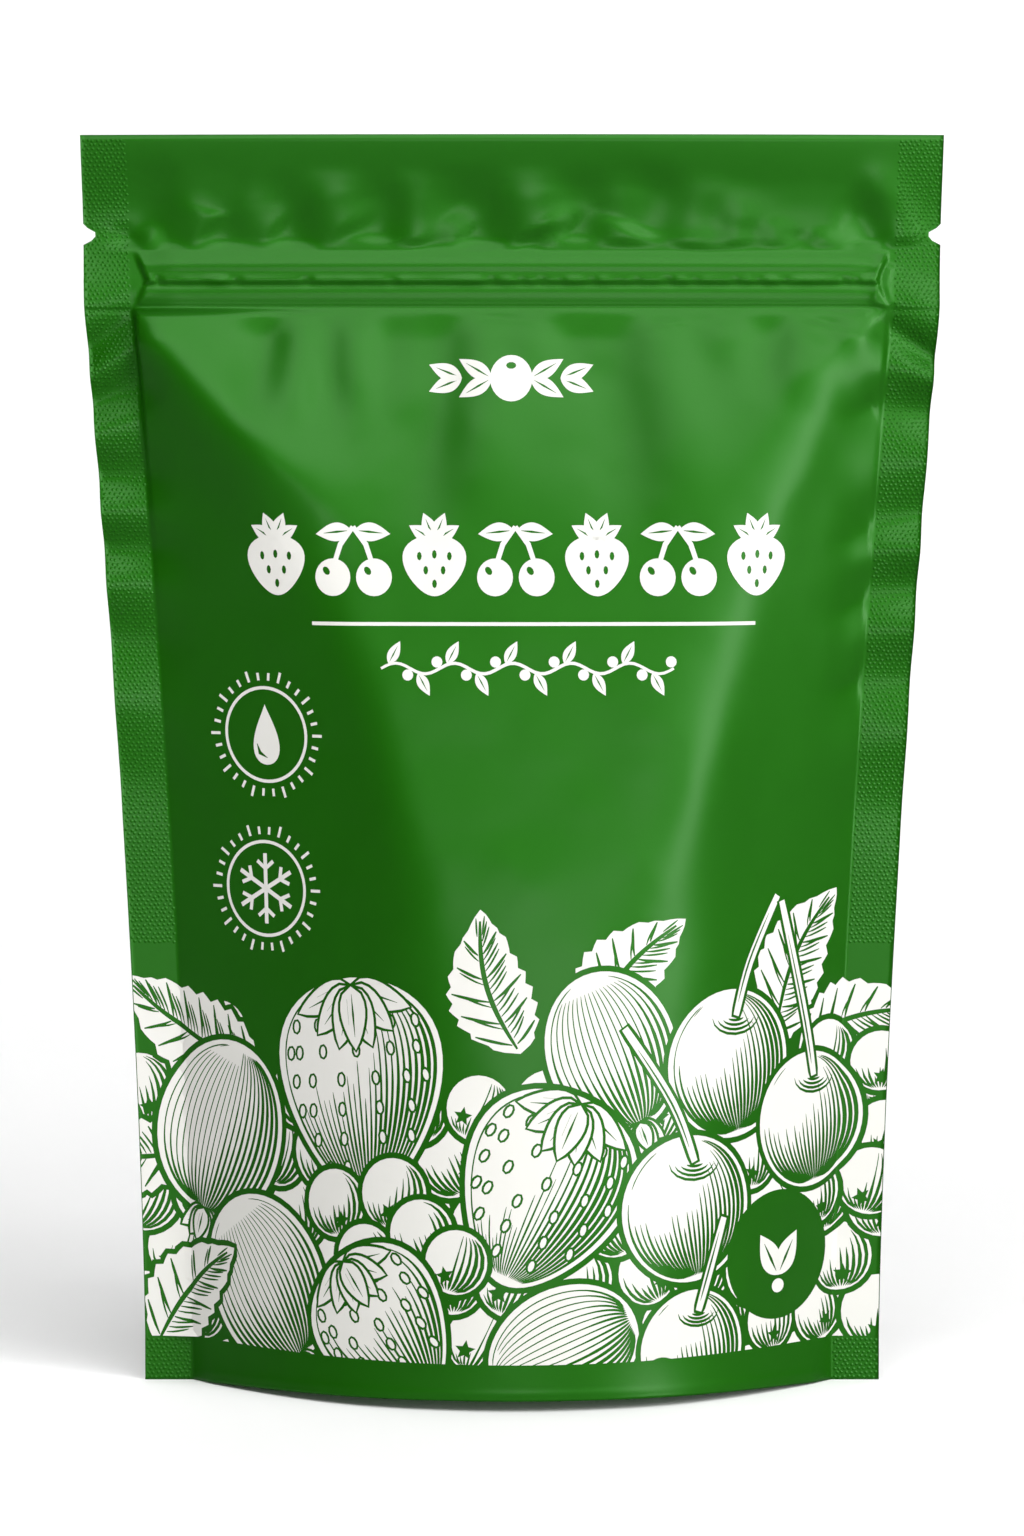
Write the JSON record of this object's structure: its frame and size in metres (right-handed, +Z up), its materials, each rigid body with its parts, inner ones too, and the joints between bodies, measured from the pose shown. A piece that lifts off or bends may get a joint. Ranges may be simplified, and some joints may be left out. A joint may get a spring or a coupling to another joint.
{
  "type": "stand-up pouch of freeze-dried mixed berries",
  "caption": "Shut stand-up film pouch of freeze-dried berries, with welded side seals, tear notches, a zip closure, a bulging belly and a lens-shaped foot.",
  "frame": {"origin": "middle of the foot, on the surface that the pouch stands on", "axes": "+Z up; +X across the pouch to the right as seen from the front; -Y towards the front"},
  "size_m": [0.15, 0.065, 0.216],
  "materials": {
    "green_film": "satin green print on metallised laminate film, with knurled weld marks on the side seals",
    "white_ink": "matte white printing ink on the film"
  },
  "bodies": {
    "root": {"pouch": "green_film"}
  },
  "joints": []
}
